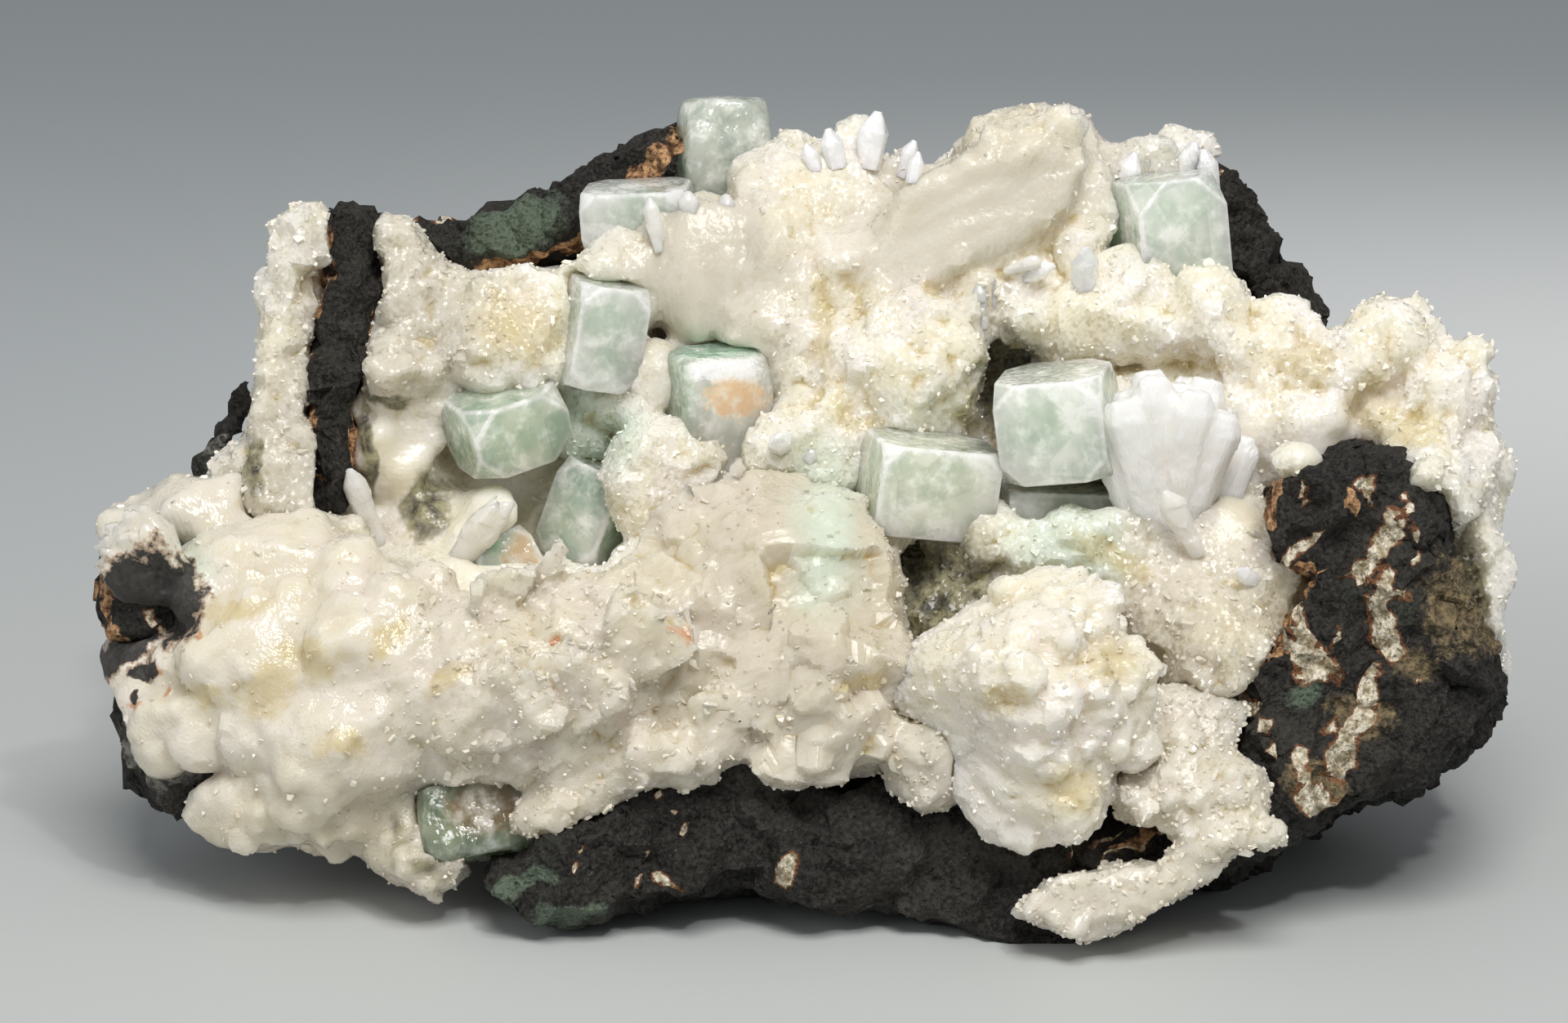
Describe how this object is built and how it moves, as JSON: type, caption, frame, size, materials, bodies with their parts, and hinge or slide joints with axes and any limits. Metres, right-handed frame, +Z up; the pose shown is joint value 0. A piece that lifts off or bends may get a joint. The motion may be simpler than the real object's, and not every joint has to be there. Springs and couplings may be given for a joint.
{
  "type": "mineral_specimen",
  "caption": "Cluster of clear pale green blocky crystals among white sheaves and a sugary crust, in a hollow of dark rock with a flat underside",
  "frame": {"origin": "middle of the bounding box, on the flat underside", "axes": "+X to the right as the open side is seen, +Y away from the viewer into the rock, +Z up"},
  "size_m": [0.159, 0.0896, 0.0845],
  "materials": {
    "basalt": "rough broken basalt, nearly black",
    "stilbite_crust": "sugary, cream, slightly translucent",
    "stilbite": "pearly, off-white, slightly translucent",
    "apophyllite": "clear, pale green, with smooth lustrous faces"
  },
  "bodies": {
    "root": {"basalt_matrix": "basalt", "stilbite_crust": "stilbite_crust", "front_sheaves": "stilbite", "wedge_sheaf": "stilbite", "ledge_sheaf": "stilbite", "bow_tie_sheaf": "stilbite", "heart_crystal": "apophyllite", "left_crystal": "apophyllite", "lower_left_crystal": "apophyllite", "stained_crystal": "apophyllite", "middle_crystal": "apophyllite", "large_crystal": "apophyllite", "ledge_crystal": "apophyllite", "top_right_crystal": "apophyllite", "upper_left_crystal": "apophyllite", "top_left_crystal": "apophyllite", "top_crystal": "apophyllite", "under_crystal": "apophyllite"}
  },
  "joints": []
}
